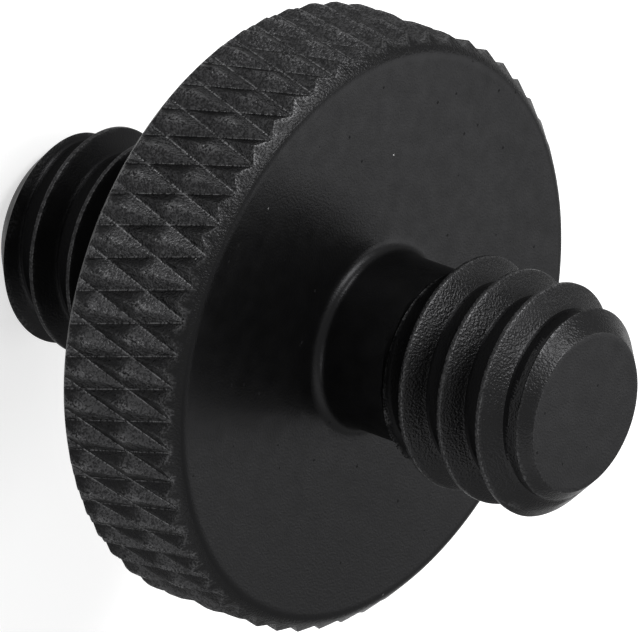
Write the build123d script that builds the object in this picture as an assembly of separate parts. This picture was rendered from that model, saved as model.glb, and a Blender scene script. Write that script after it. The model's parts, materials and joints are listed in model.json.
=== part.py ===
from build123d import *
import os
from math import ceil, pi, radians, tan

# Tripod thread adapter: a knurled disc with a quarter-inch stud on each side,
# turned from one bar of aluminium. Sizes are in millimetres and degrees.
# The part stands on the end of its lower stud: the origin is the centre of
# that end face and +Z runs along the axis.

# Disc
disc_diameter = 16.2        # across the points of the knurl
disc_thickness = 4.0
disc_chamfer = 0.46

# Diamond knurl on the disc's rim: grooves that cross, with pyramids between them
knurl_lines = 56            # grooves in each direction
knurl_angle = 16.15         # of a groove to the axis
knurl_depth = 0.25
knurl_overrun = 0.32        # from the upper chamfer's start to the first crossings
knurl_turn = 2.74           # of a first crossing about the axis, from +X

# Studs
stud_length = 7.0
tip_chamfer = 0.91
neck_length = 2.2
neck_relief = 0.06          # of the neck's surface below the thread's bottom
neck_fillet = 0.3

# Thread: 20 turns to the inch, right-hand, with a 60 degree form
thread_diameter = 6.08
thread_pitch = 25.4 / 20
thread_depth = 0.62
thread_crest = 0.16         # flat on top of the thread
flank_angle = 30.0          # of each flank to a plane across the axis
crest_height = 3.26         # above the disc, where the upper thread passes +X
lower_stud_turn = -152.0    # of the lower stud against the upper one turned over

groove_radius = disc_diameter / 2 - knurl_depth
crest_radius = thread_diameter / 2
root_radius = crest_radius - thread_depth
neck_radius = root_radius - neck_relief


def polar(radius, angle, height):
    return Vector(radius, 0, height).rotate(Axis.Z, angle)


def facet(corners):
    return Face(Wire.make_polygon(corners, close=True))


def threaded_bar(bottom, top):
    """A threaded bar about the axis that runs past bottom and top.

    Each turn is four ruled faces between helices: the groove's floor, a flank,
    the crest and the other flank. A spiral ramp and a flat step close each end.
    """
    flank = thread_depth * tan(radians(flank_angle))
    floor = thread_pitch - thread_crest - 2 * flank
    form = [(root_radius, 0), (root_radius, floor), (crest_radius, floor + flank),
            (crest_radius, floor + flank + thread_crest), (root_radius, thread_pitch)]
    crest_middle = floor + flank + thread_crest / 2
    skipped = ceil((crest_height - crest_middle - bottom) / thread_pitch) + 1
    start = crest_height - crest_middle - skipped * thread_pitch
    turns = ceil((top - start) / thread_pitch)

    def helix(radius, height):
        return Edge.make_helix(thread_pitch, thread_pitch, radius, center=(0, 0, height))

    faces = []
    for turn in range(turns):
        height = start + turn * thread_pitch
        for (inner, low), (outer, high) in zip(form, form[1:]):
            lower, upper = helix(inner, height + low), helix(outer, height + high)
            faces.append(Face.make_surface_from_curves(lower, upper))
    for height in (start, start + turns * thread_pitch):
        axis = Edge.make_line((0, 0, height), (0, 0, height + thread_pitch))
        ramp = Face.make_surface_from_curves(axis, helix(root_radius, height))
        outline = [(0, 0), *form, (0, thread_pitch)]
        faces += [ramp, facet([(radius, 0, height + rise) for radius, rise in outline])]
    return Solid(Shell(faces))


def stud():
    """A threaded stud that stands on z = 0, with its plain neck at the bottom."""
    outside = crest_radius + thread_depth    # clear of the thread's crest
    shoulder = neck_length + outside - neck_radius
    tip = stud_length - tip_chamfer - thread_depth
    turned_form = revolve(Plane.XZ * make_face(Polyline(
        (0, 0), (neck_radius, 0), (neck_radius, neck_length), (outside, shoulder),
        (outside, tip), (crest_radius - tip_chamfer, stud_length), (0, stud_length), (0, 0))))
    return turned_form & threaded_bar(0, stud_length)


def knurled_bar(bottom, top):
    """A closed faceted bar with the knurl as its side, longer than bottom to top.

    Each pyramid has its four corners at crossings of grooves, and its point on
    the disc's outside diameter.
    """
    step = 360 / knurl_lines
    row_height = pi * groove_radius / knurl_lines / tan(radians(knurl_angle))
    first_row = top - disc_chamfer + knurl_overrun
    above = ceil((top - first_row) / row_height)
    below = ceil((first_row - bottom) / row_height)

    def crossing(row, place):
        return polar(groove_radius, knurl_turn + (place + row / 2) * step,
                     first_row + row * row_height)

    def peak(row, place):
        return polar(disc_diameter / 2, knurl_turn + (place + (row + 1) / 2) * step,
                     first_row + row * row_height)

    faces = []
    for row in range(-below, above + 1):
        for place in range(knurl_lines):
            point, left, right = peak(row, place), crossing(row, place), crossing(row, place + 1)
            if row < above:
                up = crossing(row + 1, place)
                faces += [facet((point, right, up)), facet((point, up, left))]
            if row > -below:
                down = crossing(row - 1, place + 1)
                faces += [facet((point, left, down)), facet((point, down, right))]
    for row in (-below, above):
        faces.append(facet([corner for place in range(knurl_lines)
                            for corner in (crossing(row, place), peak(row, place))]))
    return Solid(Shell(faces))


def disc():
    """The knurled disc with both its edges chamfered, standing on z = 0."""
    spare = knurl_depth    # keeps the blank's side clear of the knurl's points
    blank = extrude(Circle(disc_diameter / 2 + spare), disc_thickness)
    blank = chamfer(blank.edges().filter_by(GeomType.CIRCLE), disc_chamfer + spare)
    return blank & knurled_bar(0, disc_thickness)


def adapter():
    """The whole piece, standing on its lower end."""
    upper = Pos(0, 0, stud_length + disc_thickness) * stud()
    lower = Pos(0, 0, stud_length) * Rot(0, 0, lower_stud_turn) * Rot(180, 0, 0) * stud()
    piece = Pos(0, 0, stud_length) * disc() + lower + upper
    neck_feet = [edge for edge in piece.edges().filter_by(GeomType.CIRCLE)
                 if abs(edge.radius - neck_radius) < 0.001
                 and stud_length - 0.001 < edge.center().Z < stud_length + disc_thickness + 0.001]
    return fillet(neck_feet, neck_fillet)


os.makedirs("parts", exist_ok=True)
export_step(adapter(), "parts/thread_adapter.step")
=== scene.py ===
import json
from math import ceil, cos, floor, pi, radians, sin, tan

import bmesh
import bpy
import numpy as np
from mathutils import Matrix, Vector


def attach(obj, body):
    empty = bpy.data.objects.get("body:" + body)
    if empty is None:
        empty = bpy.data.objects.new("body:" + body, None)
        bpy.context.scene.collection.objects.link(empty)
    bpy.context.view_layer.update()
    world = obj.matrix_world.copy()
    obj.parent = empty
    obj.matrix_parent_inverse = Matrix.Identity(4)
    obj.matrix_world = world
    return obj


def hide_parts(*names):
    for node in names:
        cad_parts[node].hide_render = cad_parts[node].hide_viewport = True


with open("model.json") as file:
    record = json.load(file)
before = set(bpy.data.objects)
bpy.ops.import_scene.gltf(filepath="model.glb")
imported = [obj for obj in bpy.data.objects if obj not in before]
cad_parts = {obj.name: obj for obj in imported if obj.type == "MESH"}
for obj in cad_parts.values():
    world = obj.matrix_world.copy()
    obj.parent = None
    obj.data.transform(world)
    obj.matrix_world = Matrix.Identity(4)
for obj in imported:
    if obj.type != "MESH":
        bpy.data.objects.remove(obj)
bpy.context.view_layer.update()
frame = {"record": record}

bl_info = {
    "name": "Tripod thread adapter",
    "version": (1, 0, 0),
    "blender": (4, 5, 0),
    "location": "3D View > Sidebar > Adapter",
    "description": "Builds a knurled double-ended thread adapter and a studio stage for it",
    "category": "Object",
}

MM = 0.001
NODE = "thread_adapter"

# Heights of the disc's two faces, which are mounts in the record
MOUNT_HEIGHTS = {mount["name"]: mount["pos_m"][2] for mount in frame["record"]["mounts"]}
LOWER_FACE, UPPER_FACE = MOUNT_HEIGHTS["lower_face"], MOUNT_HEIGHTS["upper_face"]

# The piece's finishes, and the number of each on the mesh's faces
FINISHES = ("black_turned_face", "black_knurled_rim", "black_cut_thread", "black_fine_thread",
            "painted_shade_thread_root", "black_disc_chamfer")
TURNED, KNURLED, CUT, FINE, SHADED_ROOT, CHAMFER = range(6)

# Two values on the mesh's points, which the finishes read: worn spots with painted highlights, and
# painted light
WEAR_AND_HIGHLIGHT, PAINTED_LIGHT = "wear_and_highlight", "painted_light"

STUD_STEPS = 160              # points round a stud
RIM_STEPS = 320               # points round the disc's turned edges
CREASE_WEAR = 0.4             # where a turned form cuts the knurl or the thread
TIP_WEAR = 0.15               # on the edge of a stud's end
SMOOTH_BELOW = radians(24)    # an edge that turns the surface by less is shaded smooth
SAME = 0.001 * MM             # heights or radii this close are the same
ON_FORM = 0.01 * MM           # a face's middle this close to a turned form lies on it

BLACK, WHITE = (0.0, 0.0, 0.0, 1.0), (1.0, 1.0, 1.0, 1.0)
MIX_COLOURS, MIX_RESULT = (6, 7), 2    # the sockets that a Mix node has for colours

# Name, direction from the piece, distance, width and height in metres, power in watts
LAMPS = (
    ("key_lamp", (0.17, -0.63, 0.755), 0.8, 0.34, 0.34, 6.8),
    ("back_lamp", (-0.72, -0.25, 0.65), 0.16, 0.1, 0.1, 0.117),
    ("fill_lamp", (0.0, 0.82, 0.57), 0.8, 0.6, 0.6, 1.4),
    ("left_lamp", (0.66, -0.74, 0.08), 0.8, 0.3, 0.1, 3.0),
    ("right_lamp", (0.66, 0.74, 0.08), 0.8, 0.3, 0.1, 1.0),
)


def length(name, description, default):
    """A length property in metres, with its default in millimetres."""
    return bpy.props.FloatProperty(
        name=name, description=description, default=default * MM, min=0.0,
        unit="LENGTH", subtype="DISTANCE", precision=5)


def angle(name, description, default):
    """An angle property with its default in degrees."""
    return bpy.props.FloatProperty(
        name=name, description=description, default=radians(default),
        unit="ROTATION", subtype="ANGLE")


def share(name, description, default):
    """A number from 0 to 1."""
    return bpy.props.FloatProperty(
        name=name, description=description, default=default, min=0.0, max=1.0,
        subtype="FACTOR")


def tone(name, description, default):
    """A linear colour without alpha."""
    return bpy.props.FloatVectorProperty(
        name=name, description=description, default=default, size=3, min=0.0,
        max=1.0, subtype="COLOR")


class DiscSizes(bpy.types.PropertyGroup):
    """Sizes of the knurled disc."""

    diameter: length("Diameter", "Across the sharp points that the knurl would have", 16.2)
    thickness: length("Thickness", "Between the disc's two faces", (UPPER_FACE - LOWER_FACE) / MM)
    chamfer: length("Chamfer", "Height and width of the chamfer at both faces", 0.46)
    edge_round: length("Edge rounding", "Rounding between a face and its chamfer", 0.45)
    lines: bpy.props.IntProperty(
        name="Grooves", description="Grooves of the knurl in each direction", default=56, min=8)
    slant: angle("Slant", "Of a groove to the axis", 16.15)
    depth: length("Depth", "Of the grooves below the pyramids' sharp points", 0.25)
    overrun: length("Overrun", "From the chamfer's start up to the first crossings", 0.32)
    turn: angle("Turn", "Of a first crossing about the axis", 2.74)
    groove_flat: length("Groove flat", "Width of a groove's floor", 0.02)
    groove_round: length("Groove rounding", "Rounding beside a groove's floor", 0.02)
    lip: share("Lip", "Height of the lip round a pyramid's sunken point, as a share", 0.84)
    lip_spread: share("Lip spread", "How much that height differs between pyramids", 0.2)
    lip_round: length("Lip rounding", "Rounding of that lip", 0.02)


class StudSizes(bpy.types.PropertyGroup):
    """Sizes of the two threaded studs."""

    length: length("Length", "From the disc's face to the end", LOWER_FACE / MM)
    tip_chamfer: length("Tip chamfer", "Height and width of the chamfer at the end", 0.91)
    edge_round: length("Edge rounding", "Rounding between the end face and its chamfer", 0.04)
    neck_length: length("Neck length", "From the disc's face to the thread's shoulder", 2.2)
    neck_diameter: length("Neck diameter", "Of the plain neck", 4.72)
    neck_fillet: length("Neck fillet", "Radius between the neck and the disc's face", 0.3)
    diameter: length("Thread diameter", "Across the crests", 6.07)
    pitch: length("Pitch", "From one turn to the next", 25.4 / 20)
    depth: length("Thread depth", "From a crest to the groove's floor", 0.62)
    crest: length("Crest", "Width of the flat on top of the thread", 0.11)
    crest_round: length("Crest rounding", "Rounding of the crest's two edges", 0.018)
    root_round: length("Root rounding", "Rounding at the groove's floor", 0.1)
    flank: angle("Flank", "Of a flank to a plane across the axis", 30.0)
    crest_height: length("Crest height", "Above the disc where the upper thread passes +X", 3.26)
    lower_turn: angle("Lower turn", "Of the lower stud against the upper one turned over", -152.0)


class FinishLook(bpy.types.PropertyGroup):
    """Colours and texture of the black anodised, blasted aluminium, with its painted light, shade
    and highlights.
    """

    black: tone("Anodised black", "Reflection of the dyed layer",
                (0.0104, 0.0104, 0.0108))
    # Painted shade: the knurl's black is darker than the black elsewhere, and shows where its sides
    # aren't painted lighter
    rim_shade_black: tone("Rim black", "Of the sides of the knurl that aren't smeared",
                    (0.0078, 0.0078, 0.0081))
    # Painted light: a paler copy of the black, which brightens the upper thread's highlights
    thread_lit_black: tone("Thread black", "Of the upper thread and its tip",
                       (0.0148, 0.0148, 0.0152))
    # Painted shade: a darker black in the thread's roots, on the shoulders and up to the first turn
    root_shade_black: tone("Root black", "Of the threads' roots and shoulders, where dye gathers",
                     (0.0035, 0.0035, 0.0037))
    chamfer_black: tone("Chamfer black", "Of the disc's chamfers",
                        (0.0112, 0.0112, 0.0115))
    # Painted light and highlight: the colour laid on the knurl's upper sides and along the thread's
    # crest
    painted_light: tone("Rolled", "Where the knurling wheel or the cutting tool has smeared the metal",
                 (0.036, 0.036, 0.037))
    # Also the colour of the painted highlights along the knurl's groove floors
    rubbed_and_highlight: tone("Rubbed edge", "Where handling has thinned the layer",
                 (0.15, 0.15, 0.153))
    dust: tone("Dust", "Colour of the few specks of dust", (0.2, 0.2, 0.2))
    metal: share("Metal", "How far the layer reflects as a bare metal does", 0.8)
    gloss: share("Gloss", "Specular level of the rest of the layer", 0.12)
    sheen: share("Grazing sheen", "Share of a metal's gleam that is left at a grazing angle", 0.5)
    grain: length("Grain", "Size of the blasted surface's dents", 0.06)
    hammer: length("Hammer marks", "Size of the coarser dents in the knurl", 0.15)
    hammered: share("Hammered", "Depth of the coarser dents in the knurl, against the grain", 0.7)
    patch: length("Patches", "Size of the patches where gloss and rubbing differ", 0.5)
    cloud: length("Clouds", "Size of the widest differences in gloss", 3.0)
    pit_gap: length("Pit spacing", "Between the places where a pit can be", 0.5)
    dust_gap: length("Dust spacing", "Between the places where a speck can be", 1.1)
    face_roughness: share("Face roughness", "Of the turned faces and necks", 0.35)
    face_dents: length("Face dents", "Depth of the grain in the turned faces", 0.005)
    rim_roughness: share("Rim roughness", "Of the knurled rim and the disc's chamfers", 0.36)
    rim_dents: length("Rim dents", "Depth of the grain in the knurled rim", 0.03)
    thread_roughness: share("Thread roughness", "Of the threads and the tip chamfers", 0.34)
    thread_dents: length("Thread dents", "Depth of the grain in the upper thread", 0.02)
    fine_dents: length("Fine dents", "Depth of the grain in the lower thread and the roots", 0.006)


class StageLook(bpy.types.PropertyGroup):
    """Floor, world and camera."""

    floor_width: length("Floor width", "Side of the square floor", 3000.0)
    floor_tone: tone("Floor", "Colour of the floor", (0.6, 0.6, 0.6))
    floor_glow: share("Floor glow", "White that is seen in the floor near the piece", 0.6)
    glow_near: length("Glow near", "From the piece, where the floor starts to whiten", 100.0)
    glow_far: length("Glow far", "From the piece, where the camera sees white only", 400.0)
    sky: share("Sky", "Strength of the even light from all sides", 0.2)
    lamp_aim: length("Lamp aim", "Height that the lamps look at", UPPER_FACE / MM)
    elevation: angle("Camera elevation", "Above the horizon", 35.83)
    roll: angle("Camera roll", "About the line of sight", 109.61)
    focal_length: bpy.props.FloatProperty(
        name="Focal length", description="Of the camera", default=719.3,
        unit="CAMERA", subtype="DISTANCE_CAMERA")
    place: bpy.props.FloatVectorProperty(
        name="Camera place", description="Of the camera's centre",
        default=(268.44 * MM, -0.05 * MM, 202.94 * MM), size=3,
        unit="LENGTH", subtype="TRANSLATION")


def soft_min(first, second, width):
    """The smaller of two values, with a rounded corner of that width where they meet."""
    near = np.maximum(width - np.abs(first - second), 0.0) / width
    return np.minimum(first, second) - near * near * width / 4


def soft_max(first, second, width):
    return -soft_min(-first, -second, width)


def wrapped(turn):
    """An angle brought between -pi and pi."""
    return (turn + pi) % (2 * pi) - pi


def mirrored(half):
    """Marks from 0 to a half, carried on as far as 1, which is the next 0."""
    return [*half, *(1 - mark for mark in half[-2:0:-1])]


class Knurl:
    """The knurled rim as a height field: pyramids between grooves of two directions."""

    # Lattice lines from a groove to the middle of a pyramid, as shares of their distance
    MARKS = mirrored((0.0, 0.02, 0.045, 0.09, 0.24, 0.4, 0.432, 0.465, 0.5))
    RIDGE = 0.06    # width over which a pyramid's sides pass into each other, in grooves

    def __init__(self, sizes, top):
        self.sizes = sizes
        self.step = 2 * pi / sizes.lines
        self.groove = sizes.diameter / 2 - sizes.depth
        self.row = self.step / 2 * self.groove / tan(sizes.slant)
        self.first = top - sizes.chamfer + sizes.overrun
        self.gauge = self.step * self.groove * cos(sizes.slant)
        self.slope = sizes.depth / (self.gauge - sizes.groove_flat) * 2

    def lattice(self, low, high):
        """Points along the grooves, closer together at a groove and at a pyramid's point."""
        count = len(self.MARKS)
        bottom = floor((low - self.first) / self.row) - 1
        top = ceil((high - self.first) / self.row) + 1
        around = 2 * count * self.sizes.lines

        def spot(number):
            return number // count + self.MARKS[number % count]

        index, places = {}, []
        for level in range(bottom * count, top * count + 1):
            for place in range(level % 2, around, 2):
                right, left = (level + place) // 2, (level - place) // 2
                across = spot(right) - spot(left)
                up = spot(right) + spot(left)
                index[place, level] = len(places)
                places.append((self.sizes.turn + across * self.step / 2,
                               self.first + up * self.row))
        quads = []
        for (place, level), lowest in index.items():
            corners = [((place + 1) % around, level + 1), (place, level + 2),
                       ((place - 1) % around, level + 1)]
            if all(corner in index for corner in corners):
                quads.append([lowest, *(index[corner] for corner in corners)])
        return np.array(places), np.array(quads)

    def place(self, turn, height):
        """A point's place among the grooves of each direction, in grooves."""
        across = (turn - self.sizes.turn) / self.step
        up = (height - self.first) / self.row / 2
        return up + across, up - across

    def beside(self, turn, height):
        """How far a point lies from the nearest groove of each direction, in grooves."""
        return [np.minimum(place % 1.0, 1 - place % 1.0) for place in self.place(turn, height)]

    def lip(self, turn, height):
        """Height of the lip round each pyramid's sunken point, different on each."""
        right, left = (np.floor(place + 1e-6) for place in self.place(turn, height))
        scattered = ((right - left) % self.sizes.lines) * 12.99 + (right + left) * 78.23
        chance = (np.sin(scattered) * 43.7) % 1.0
        return (self.sizes.lip + (chance - 0.5) * self.sizes.lip_spread) * self.sizes.depth

    def radius(self, turn, height):
        """Grooves with a narrow floor, and pyramids whose points are folded in."""
        sizes = self.sizes
        distance = np.minimum(*self.beside(turn, height)) * self.gauge
        rise = (distance - sizes.groove_flat / 2) * self.slope
        rise = soft_max(rise, 0.0 * rise, sizes.groove_round * self.slope)
        return self.groove + soft_min(rise, 2 * self.lip(turn, height) - rise, sizes.lip_round)

    def painted_light(self, turn, height):
        """Painted light and shade: each pyramid's four sides are painted lighter by different
        amounts, its upper sides most.
        """
        right, left = (place % 1.0 for place in self.place(turn, height))
        above = np.clip((right + left - 1) / self.RIDGE + 0.5, 0, 1)
        ahead = np.clip((right - left) / self.RIDGE + 0.5, 0, 1)
        upper_light = 1.0 - 0.5 * ahead
        lower_light = 0.05 + 0.4 * ahead
        return above * upper_light + (1 - above) * lower_light

    def wear_and_highlight(self, turn, height):
        """Worn spots on the pyramids' tops, and painted highlights along the grooves' floors.

        The floors of one direction are wider and brighter than those of the other.
        """
        right, left = self.beside(turn, height)
        flat = self.sizes.groove_flat / self.gauge
        floors = np.maximum(0.8 - right / (1.3 * flat), 0.95 - left / (1.8 * flat))
        tops = np.minimum((np.minimum(right, left) - 0.22) * 2.6, 0.5)
        return np.clip(np.maximum(floors, tops), 0, 1)


class Thread:
    """The thread as a height field: a radius for each angle and height."""

    # Lattice lines from the middle of the crest to the middle of the root, in pitches
    MARKS = mirrored((0.0, 0.03, 0.043, 0.056, 0.09, 0.19, 0.27, 0.31, 0.35, 0.41, 0.5))
    RUB = 0.03 * MM    # how far the rubbing on the crest's edges reaches

    def __init__(self, sizes):
        self.sizes = sizes
        self.crest = sizes.diameter / 2
        self.root = self.crest - sizes.depth

    def lattice(self, low, high):
        """Points along the thread, closer together at the edges of its crest."""
        count, around, pitch = len(self.MARKS), STUD_STEPS, self.sizes.pitch
        bottom = floor((low - self.sizes.crest_height) / pitch) - 2
        top = ceil((high - self.sizes.crest_height) / pitch) + 1
        rows = np.array([self.sizes.crest_height + (turn + mark) * pitch
                         for turn in range(bottom, top) for mark in self.MARKS])
        turns = np.arange(around) * 2 * pi / around
        places = np.array([(turn, row + pitch * turn / (2 * pi)) for turn in turns for row in rows])
        quads = []
        for column in range(around):
            following = (column + 1) % around
            climb = count if following == 0 else 0
            for row in range(len(rows) - 1 - climb):
                here, there = column * len(rows) + row, following * len(rows) + row + climb
                quads.append([here, there, there + 1, here + 1])
        return places, np.array(quads)

    def beyond_crest(self, turn, height):
        """How far a point lies along the axis outside the crest's flat, below 0 inside."""
        turns = (height - self.sizes.crest_height) / self.sizes.pitch - turn / (2 * pi)
        return np.abs((turns + 0.5) % 1.0 - 0.5) * self.sizes.pitch - self.sizes.crest / 2

    def radius(self, turn, height):
        """Straight flanks between a flat crest and a rounded root."""
        sizes = self.sizes
        fall = self.beyond_crest(turn, height) / tan(sizes.flank)
        fall = soft_max(fall, 0.0 * fall, sizes.crest_round)
        return self.crest - soft_min(fall, 0.0 * fall + sizes.depth, sizes.root_round)

    def painted_light(self, turn, height):
        """The crest is painted paler than the flanks, as a painted highlight along it."""
        return 0.4 * np.clip(0.6 - self.beyond_crest(turn, height) / self.RUB, 0, 1)

    def wear_and_highlight(self, turn, height):
        """The crest's two edges are worn."""
        return 0.5 * np.clip(1 - np.abs(self.beyond_crest(turn, height)) / self.RUB, 0, 1)


def onto_crease(places, quads, gap):
    """Slides lattice points along their edges onto the line where gap changes sign."""
    value = gap(places)
    edges = np.vstack([quads[:, [0, 1]], quads[:, [1, 2]], quads[:, [2, 3]], quads[:, [3, 0]]])
    edges = np.unique(np.sort(edges, axis=1), axis=0)
    first, second = edges.T
    edges = edges[value[first] * value[second] < 0]
    moves = []
    for first, second in edges.tolist():
        part = value[first] / (value[first] - value[second])
        moves.append((part, first, second) if part < 0.5 else (1 - part, second, first))
    moved = set()
    for part, near, far in sorted(moves):
        if near not in moved and far not in moved:
            step = places[far] - places[near]
            step[0] = wrapped(step[0])
            places[near] = places[near] + part * step
            moved.add(near)
    return sorted(moved)


def skin(field, form, low, high):
    """A mesh of a height field turned down to a form, cut off flat at low and high.

    Its quads are split along the diagonal that lies closer to the surface.
    """
    places, quads = field.lattice(low, high)

    def gap(spots):
        return field.radius(*spots.T) - form(spots[:, 1])

    creased = onto_crease(places, quads, gap)
    bare, turned = field.radius(*places.T), form(places[:, 1])
    radius = np.minimum(bare, turned)
    formed = bare <= turned + SAME
    wear_and_highlight = np.where(formed, field.wear_and_highlight(*places.T), 0.0)
    wear_and_highlight[creased] = CREASE_WEAR
    painted_light = np.where(formed, field.painted_light(*places.T), 0.0)
    heights = places[quads][:, :, 1]
    quads = quads[(heights.max(1) > low) & (heights.min(1) < high)]
    corners = places[quads]
    corners[:, :, 0] = corners[:, :1, 0] + wrapped(corners[:, :, 0] - corners[:, :1, 0])
    middle = corners.mean(1)
    wanted = np.minimum(field.radius(*middle.T), form(middle[:, 1]))
    ends = radius[quads]
    other = (np.abs(ends[:, [1, 3]].mean(1) - wanted) < np.abs(ends[:, [0, 2]].mean(1) - wanted))
    mesh = bmesh.new()
    layers = [mesh.verts.layers.float.new(name) for name in (WEAR_AND_HIGHLIGHT, PAINTED_LIGHT)]
    points = [None] * len(places)
    for number in np.unique(quads).tolist():
        turn, height = places[number]
        points[number] = mesh.verts.new(
            (radius[number] * cos(turn), radius[number] * sin(turn), height))
        for layer, values in zip(layers, (wear_and_highlight, painted_light)):
            points[number][layer] = values[number]
    for (a, b, c, d), across in zip(quads.tolist(), other.tolist()):
        halves = ((a, b, d), (b, c, d)) if across else ((a, b, c), (a, c, d))
        for half in halves:
            mesh.faces.new([points[number] for number in half])
    for height, normal in ((low, (0, 0, -1)), (high, (0, 0, 1))):
        bmesh.ops.bisect_plane(
            mesh, geom=mesh.verts[:] + mesh.edges[:] + mesh.faces[:], dist=1e-9,
            plane_co=(0, 0, height), plane_no=normal, clear_outer=True)
    bmesh.ops.remove_doubles(mesh, verts=mesh.verts[:], dist=1e-7)
    return mesh


def turn_of(point):
    """A point's angle about the axis."""
    return float(np.arctan2(point.co.y, point.co.x))


def rim_loop(mesh, height):
    """The open edge's points at that height, in order round the axis."""
    points = {point for edge in mesh.edges if edge.is_boundary for point in edge.verts
              if abs(point.co.z - height) < SAME}
    return sorted(points, key=turn_of)


def new_ring(mesh, radius, height, steps, worn=0.0):
    """Points round the axis, in order."""
    wear_and_highlight = mesh.verts.layers.float[WEAR_AND_HIGHLIGHT]
    ring = [mesh.verts.new((radius * cos(turn), radius * sin(turn), height))
            for turn in (-pi + 2 * pi * (step + 0.5) / steps for step in range(steps))]
    for point in ring:
        point[wear_and_highlight] = worn
    return ring


def join_rings(mesh, first, second, finish=TURNED):
    """Triangles between two rings about the axis, each in order round it."""
    turns = [[turn_of(point) for point in ring] for ring in (first, second)]
    at, total = [0, 0], (len(first), len(second))
    while at[0] < total[0] or at[1] < total[1]:
        ahead = [turns[side][at[side] + 1] if at[side] + 1 < total[side]
                 else turns[side][(at[side] + 1) % total[side]] + 2 * pi for side in (0, 1)]
        side = 0 if at[1] >= total[1] or (at[0] < total[0] and ahead[0] <= ahead[1]) else 1
        ring = (first, second)[side]
        corners = [first[at[0] % total[0]], second[at[1] % total[1]],
                   ring[(at[side] + 1) % total[side]]]
        mesh.faces.new(corners).material_index = finish
        at[side] += 1


def turn_on(mesh, loop, profile, steps, finish=TURNED, worn=0.0):
    """Turned faces that carry a loop on through the profile's (radius, height) points."""
    for radius, height in profile:
        following = new_ring(mesh, radius, height, steps, worn)
        if len(loop) == steps:
            for number in range(steps):
                corners = (loop[number - 1], loop[number], following[number],
                           following[number - 1])
                mesh.faces.new(corners).material_index = finish
        else:
            join_rings(mesh, loop, following, finish)
        loop = following
    return loop


def arc(centre, radius, start, end, parts):
    """Points (radius, height) along an arc in a half plane through the axis, in degrees."""
    turns = [radians(start + (end - start) * part / parts) for part in range(parts + 1)]
    return [(centre[0] + radius * cos(turn), centre[1] + radius * sin(turn)) for turn in turns]


def eased_edge(edge, height, rounding, outward):
    """Profile over the rounded edge from a 45 degree chamfer to a flat face.

    outward is 1 where the face looks up and -1 where it looks down.
    """
    centre = edge - rounding * tan(radians(22.5))
    turns = [radians(turn) for turn in (45, 56, 67, 78, 90)]
    return [(centre + rounding * cos(turn), height - outward * rounding * (1 - sin(turn)))
            for turn in turns]


def stud_mesh(sizes, cut):
    """One stud that stands on z = 0, open at the foot of its neck's fillet.

    cut is the finish of its thread and tip.
    """
    thread = Thread(sizes)
    neck = sizes.neck_diameter / 2
    end = thread.crest - sizes.tip_chamfer

    def form(height):
        shoulder = neck + np.maximum(height - sizes.neck_length, 0.0)
        tip = end + sizes.length - height
        return np.minimum(shoulder, tip)

    neck_top = sizes.neck_length + 0.02 * MM
    first_turn = sizes.neck_length + 0.65 * MM    # dark from the shoulder up to here
    root_top = thread.root + 0.06 * MM
    last_root = sizes.length - sizes.depth

    def finish(middle):
        """The finish of a face, by its middle."""
        radius, height = middle.xy.length, middle.z
        on_shoulder = radius > neck + height - sizes.neck_length - ON_FORM
        in_root = radius < root_top and height < last_root
        if height < neck_top:
            return TURNED
        # Painted shade: the shoulder, the stretch up to the first turn and the thread's roots get
        # the darker black
        if height < first_turn or on_shoulder or in_root:
            return SHADED_ROOT
        return cut

    low = sizes.neck_length - 0.1 * MM    # the skin starts on the neck
    high = sizes.length - 0.12 * MM       # and ends on the tip's chamfer
    mesh = skin(thread, form, low, high)
    for face in mesh.faces:
        face.material_index = finish(face.calc_center_median())

    chamfer = [(end + 0.08 * MM, sizes.length - 0.08 * MM)]
    edge = eased_edge(end, sizes.length, sizes.edge_round, 1)
    end_face = [(end - 0.15 * MM, sizes.length), (end / 2, sizes.length)]
    loop = turn_on(mesh, rim_loop(mesh, high), chamfer, STUD_STEPS, cut)
    loop = turn_on(mesh, loop, edge, STUD_STEPS, cut, TIP_WEAR)
    mesh.faces.new(turn_on(mesh, loop, end_face, STUD_STEPS))

    fillet = sizes.neck_fillet
    foot = [(neck, low - 0.1 * MM), (neck, low * 0.6), (neck, fillet + 0.1 * MM),
            *arc((neck + fillet, fillet), fillet, 180, 270, 8)]
    turn_on(mesh, rim_loop(mesh, low), foot, STUD_STEPS)
    return mesh


def disc_mesh(sizes, bottom):
    """The knurled rim with both its chamfers, open at the edge of both faces."""
    top = bottom + sizes.thickness
    flat = sizes.diameter / 2 - sizes.chamfer

    def form(height):
        return flat + np.minimum(top - height, height - bottom)

    below = 0.16 * MM    # from each face to the skin's end on the chamfer
    mesh = skin(Knurl(sizes, top), form, bottom + below, top - below)
    for face in mesh.faces:
        middle = face.calc_center_median()
        chamfered = middle.xy.length > form(middle.z) - ON_FORM
        face.material_index = CHAMFER if chamfered else KNURLED
    for height, outward in ((top, 1), (bottom, -1)):
        loop = rim_loop(mesh, height - outward * below)
        edge = eased_edge(flat, height, sizes.edge_round, outward)
        loop = turn_on(mesh, loop, edge[:3], RIM_STEPS, CHAMFER)
        turn_on(mesh, loop, [*edge[3:], (flat - 0.25 * MM, height)], RIM_STEPS)
    return mesh


def open_loops(mesh):
    """Open edges of a mesh as rings of points, each in order round the axis.

    Points of one ring agree in height and radius when these are rounded.
    """
    rings = {}
    for point in {point for edge in mesh.edges if edge.is_boundary for point in edge.verts}:
        key = (round(point.co.z / (0.01 * MM)), round(point.co.xy.length / (0.05 * MM)))
        rings.setdefault(key, []).append(point)
    return [sorted(points, key=turn_of) for points in rings.values()]


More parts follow.
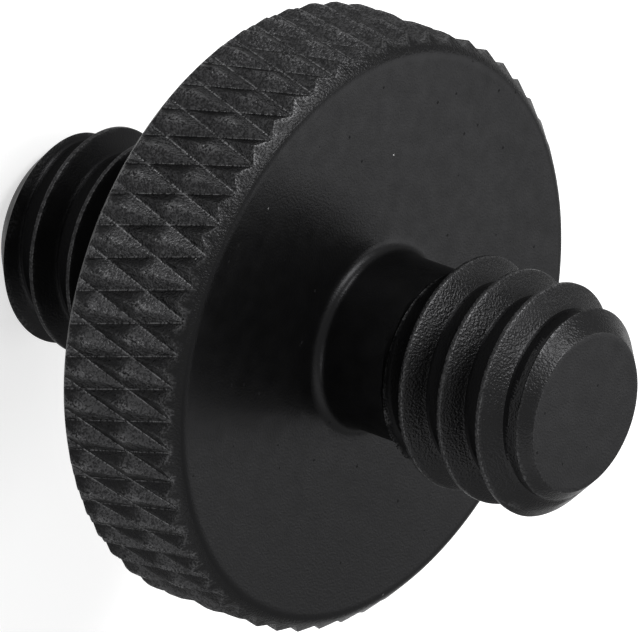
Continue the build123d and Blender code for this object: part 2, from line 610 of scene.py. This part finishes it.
def adapter_mesh(disc, stud):
    """The whole piece as one closed mesh, standing on its lower end.

    A narrow apron round each fillet's foot joins the stud to the disc's face.
    """
    apron_width = 0.15 * MM
    whole = disc_mesh(disc, stud.length)
    upper = Matrix.Translation((0, 0, stud.length + disc.thickness))
    lower = (Matrix.Translation((0, 0, stud.length)) @ Matrix.Rotation(stud.lower_turn, 4, "Z")
             @ Matrix.Rotation(pi, 4, "X"))
    for place, cut in ((upper, CUT), (lower, FINE)):
        one = stud_mesh(stud, cut)
        one.transform(place)
        passing = bpy.data.meshes.new("passing")
        one.to_mesh(passing)
        one.free()
        whole.from_mesh(passing)
        bpy.data.meshes.remove(passing)
    for height in (stud.length, stud.length + disc.thickness):
        rings = [ring for ring in open_loops(whole) if abs(ring[0].co.z - height) < SAME]
        if len(rings) != 2:
            raise RuntimeError("a face of the disc has no two open edges")
        inner, outer = sorted(rings, key=lambda ring: ring[0].co.xy.length)
        apron = new_ring(whole, inner[0].co.xy.length + apron_width, height, len(inner))
        join_rings(whole, inner, apron)
        join_rings(whole, apron, outer)
    bmesh.ops.recalc_face_normals(whole, faces=whole.faces[:])
    if any(not edge.is_manifold for edge in whole.edges):
        raise RuntimeError("the adapter's mesh isn't closed")
    return whole


def fill(node, inputs):
    """Sets a node's sockets to values, or links them where the value is a Shade."""
    for name, value in inputs.items():
        if isinstance(value, Shade):
            value.tree.links.new(value.socket, node.inputs[name])
        else:
            node.inputs[name].default_value = value


class Shade:
    """A shader socket that takes part in Python expressions."""

    def __init__(self, tree, socket=None):
        self.tree, self.socket = tree, socket

    def node(self, kind, settings=None, inputs=None, output=0):
        """An output of a new node, whose settings are made before its sockets are filled."""
        made = self.tree.nodes.new(kind)
        for name, value in (settings or {}).items():
            setattr(made, name, value)
        fill(made, inputs or {})
        return Shade(self.tree, made.outputs[output])

    def math(self, operation, first, second):
        return self.node("ShaderNodeMath", {"operation": operation}, {0: first, 1: second})

    def __add__(self, other):
        return self.math("ADD", self, other)

    def __radd__(self, other):
        return self.math("ADD", other, self)

    def __sub__(self, other):
        return self.math("SUBTRACT", self, other)

    def __rsub__(self, other):
        return self.math("SUBTRACT", other, self)

    def __mul__(self, other):
        return self.math("MULTIPLY", self, other)

    def __rmul__(self, other):
        return self.math("MULTIPLY", other, self)

    def __pow__(self, other):
        return self.math("POWER", self, other)

    def __rpow__(self, other):
        return self.math("POWER", other, self)

    def at_least(self, other):
        return self.math("MAXIMUM", self, other)

    def under(self, other):
        return self.math("LESS_THAN", self, other)

    def over(self, other):
        return self.math("GREATER_THAN", self, other)

    def stretched(self, low, high):
        """0 where this is low and 1 where it is high, in a straight line between."""
        return self.node("ShaderNodeMapRange", None,
                         {"Value": self, "From Min": low, "From Max": high})

    def blend(self, first, second):
        """A colour between two colours, by this share."""
        return self.node("ShaderNodeMix", {"data_type": "RGBA"},
                         {"Factor": self, **dict(zip(MIX_COLOURS, (first, second)))}, MIX_RESULT)


def opaque(colour):
    return (*colour, 1.0)


def new_material(name):
    """A new material, a Shade that makes its nodes, and its shader."""
    material = bpy.data.materials.new(name)
    material.use_nodes = True
    tree = material.node_tree
    return material, Shade(tree), tree.nodes["Principled BSDF"]


def ray(shade, kind):
    """1 for the rays of one kind and 0 for the others."""
    return shade.node("ShaderNodeLightPath", output=f"Is {kind} Ray")


def seen(shade):
    """1 for the rays of the camera, of gloss and through glass, and 0 for the others."""
    return (ray(shade, "Camera").at_least(ray(shade, "Glossy"))
            .at_least(ray(shade, "Transmission")))


def anodised(name, look, black, roughness, dents, hammered=0.0):
    """Black anodised aluminium over a blasted surface, worn lighter on its edges, with the painted
    light and highlights that the mesh's values carry.

    dents is the depth of its grain, and hammered that of the coarser dents against it.
    """
    material, shade, shader = new_material(name)
    place = shade.node("ShaderNodeTexCoord", output="Object")

    def noise(size, detail):
        return shade.node("ShaderNodeTexNoise", None,
                          {"Vector": place, "Scale": 1 / size, "Detail": detail})

    def cells(size, output):
        return shade.node("ShaderNodeTexVoronoi", None,
                          {"Vector": place, "Scale": 1 / size}, output)

    def painted(layer):
        return shade.node("ShaderNodeAttribute", {"attribute_name": layer}, output="Fac")

    grain = noise(look.grain, 1.0)
    hammer = noise(look.hammer, 1.0)
    patches = noise(look.patch, 2.0)
    cloud = noise(look.cloud, 3.0)
    wear_and_highlight, painted_light = painted(WEAR_AND_HIGHLIGHT), painted(PAINTED_LIGHT)

    # Colour: the painted light is broken up by the dents, and the worn spots and painted highlights
    # take their highest points
    painted_light_share = (painted_light * (grain.stretched(0.4, 0.6) * 1.2 + 0.4) * (patches * 0.6 + 0.7)
             * (hammer.stretched(0.4, 0.6) * 0.6 + 0.7))
    rubbed_and_highlight = ((wear_and_highlight ** 1.5) * patches.stretched(0.25, 0.6)
              * (grain + wear_and_highlight * 0.1).stretched(0.46, 0.6))
    pits = cells(look.pit_gap, "Distance").under(0.08) * cells(look.pit_gap, "Color").over(0.5)
    specks = cells(look.dust_gap, "Distance").under(0.022)
    colour = painted_light_share.blend(opaque(black), opaque(look.painted_light))
    colour = rubbed_and_highlight.blend(colour, opaque(look.rubbed_and_highlight))
    colour = specks.blend(colour, opaque(look.dust))

    # Gloss differs in patches and wide clouds, and the pits are dull
    rough = roughness + (patches - 0.5) * 0.2 + (cloud - 0.5) * 0.1 + pits * 0.4

    height = grain + hammer * hammered - pits * 0.6 + specks * 0.4
    bump = shade.node("ShaderNodeBump", None,
                      {"Strength": 1.0, "Distance": dents, "Height": height})
    fill(shader, {
        "Base Color": colour, "Roughness": rough, "Normal": bump, "Metallic": look.metal,
        "Specular IOR Level": look.gloss, "Specular Tint": opaque([look.sheen] * 3)})
    return material


class ADAPTER_OT_piece(bpy.types.Operator):
    """Build the turned and knurled adapter in place of its plain CAD node"""

    bl_idname = "adapter.piece"
    bl_label = "Build adapter"

    def execute(self, context):
        scene = context.scene
        look = scene.adapter_finish
        built = adapter_mesh(scene.adapter_disc, scene.adapter_stud)
        for edge in built.edges:
            edge.smooth = edge.calc_face_angle() < SMOOTH_BELOW
        for face in built.faces:
            face.smooth = True
        mesh = bpy.data.meshes.new("adapter")
        built.to_mesh(mesh)
        built.free()
        # The rim's and the roots' darker blacks paint shade, and the upper thread's paler black
        # paints light
        looks = {
            TURNED: (look.black, look.face_roughness, look.face_dents),
            KNURLED: (look.rim_shade_black, look.rim_roughness, look.rim_dents, look.hammered),
            CUT: (look.thread_lit_black, look.thread_roughness, look.thread_dents),
            FINE: (look.black, look.thread_roughness, look.fine_dents),
            SHADED_ROOT: (look.root_shade_black, look.thread_roughness, look.fine_dents),
            CHAMFER: (look.chamfer_black, look.rim_roughness, look.thread_dents),
        }
        for number, name in enumerate(FINISHES):
            mesh.materials.append(anodised(name, look, *looks[number]))
        piece = bpy.data.objects.new("adapter", mesh)
        scene.collection.objects.link(piece)
        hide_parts(NODE)
        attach(piece, "root")
        return {"FINISHED"}


class ADAPTER_OT_stage(bpy.types.Operator):
    """Lay the floor, hang the lamps and set up the camera"""

    bl_idname = "adapter.stage"
    bl_label = "Build stage"

    def execute(self, context):
        scene = context.scene
        look = scene.adapter_stage
        self.lay_floor(scene, look)
        self.light_world(scene, look)
        self.hang_lamps(scene, look)
        self.place_camera(scene, look)
        scene.view_settings.view_transform = "Standard"
        return {"FINISHED"}

    def lay_floor(self, scene, look):
        """A pale floor that the camera sees as white from a short way off."""
        half = look.floor_width / 2
        mesh = bpy.data.meshes.new("floor")
        mesh.from_pydata([(-half, -half, 0), (half, -half, 0), (half, half, 0), (-half, half, 0)],
                         [], [(0, 1, 2, 3)])
        material, shade, shader = new_material("pale_floor")
        place = shade.node("ShaderNodeTexCoord", output="Object")
        away = shade.node("ShaderNodeVectorMath", {"operation": "LENGTH"}, {0: place}, "Value")
        far = away.stretched(look.glow_near, look.glow_far)
        glow = (seen(shade) * look.floor_glow
                + ray(shade, "Camera") * far * (1 - look.floor_glow))
        fill(shader, {
            "Base Color": opaque(look.floor_tone), "Roughness": 0.9, "Specular IOR Level": 0.1,
            "Emission Color": glow.blend(BLACK, WHITE), "Emission Strength": 1.0})
        mesh.materials.append(material)
        ground = bpy.data.objects.new("floor", mesh)
        scene.collection.objects.link(ground)

    def light_world(self, scene, look):
        """An even grey light, which is white to the camera, to gloss and through glass."""
        world = bpy.data.worlds.new("studio")
        scene.world = world
        world.use_nodes = True
        tree = world.node_tree
        fill(tree.nodes["Background"],
             {"Color": seen(Shade(tree)).blend(opaque([look.sky] * 3), WHITE)})

    def hang_lamps(self, scene, look):
        """Soft lamps: a key light, a near one behind the piece, one beside it, two low ones."""
        for name, direction, distance, width, height, power in LAMPS:
            lamp = bpy.data.lights.new(name, "AREA")
            lamp.shape = "RECTANGLE"
            lamp.size, lamp.size_y = width, height
            lamp.energy = power
            hung = bpy.data.objects.new(name, lamp)
            away = Vector(direction).normalized()
            hung.location = Vector((0, 0, look.lamp_aim)) + away * distance
            hung.rotation_euler = away.to_track_quat("Z", "Y").to_euler()
            scene.collection.objects.link(hung)

    def place_camera(self, scene, look):
        """The photograph's viewing angle. The camera looks along -X and down."""
        lens = bpy.data.cameras.new("camera")
        lens.lens = look.focal_length
        lens.clip_start, lens.clip_end = 0.01, 20.0
        camera = bpy.data.objects.new("camera", lens)
        turn = (Matrix.Rotation(pi / 2, 4, "Z") @ Matrix.Rotation(pi / 2 - look.elevation, 4, "X")
                @ Matrix.Rotation(look.roll, 4, "Z"))
        camera.matrix_world = Matrix.Translation(look.place) @ turn
        scene.collection.objects.link(camera)
        scene.camera = camera


class ADAPTER_PT_panel(bpy.types.Panel):
    """Lists the adapter's sizes, looks and operators in the sidebar"""

    bl_idname = "ADAPTER_PT_panel"
    bl_label = "Thread adapter"
    bl_space_type = "VIEW_3D"
    bl_region_type = "UI"
    bl_category = "Adapter"

    def draw(self, context):
        layout = self.layout
        for group, pointer in GROUPS.items():
            box = layout.box()
            box.label(text=group.bl_rna.name)
            values = getattr(context.scene, pointer)
            for name in group.__annotations__:
                box.prop(values, name)
        for operator in OPERATORS:
            layout.operator(operator.bl_idname)


GROUPS = {
    DiscSizes: "adapter_disc",
    StudSizes: "adapter_stud",
    FinishLook: "adapter_finish",
    StageLook: "adapter_stage",
}
OPERATORS = (ADAPTER_OT_piece, ADAPTER_OT_stage)


def register():
    for group, pointer in GROUPS.items():
        bpy.utils.register_class(group)
        setattr(bpy.types.Scene, pointer, bpy.props.PointerProperty(type=group))
    for kind in (*OPERATORS, ADAPTER_PT_panel):
        bpy.utils.register_class(kind)


def unregister():
    for kind in (ADAPTER_PT_panel, *OPERATORS):
        bpy.utils.unregister_class(kind)
    for group, pointer in GROUPS.items():
        delattr(bpy.types.Scene, pointer)
        bpy.utils.unregister_class(group)


def main():
    register()
    bpy.ops.adapter.piece()
    bpy.ops.adapter.stage()


if __name__ == "__main__":
    main()
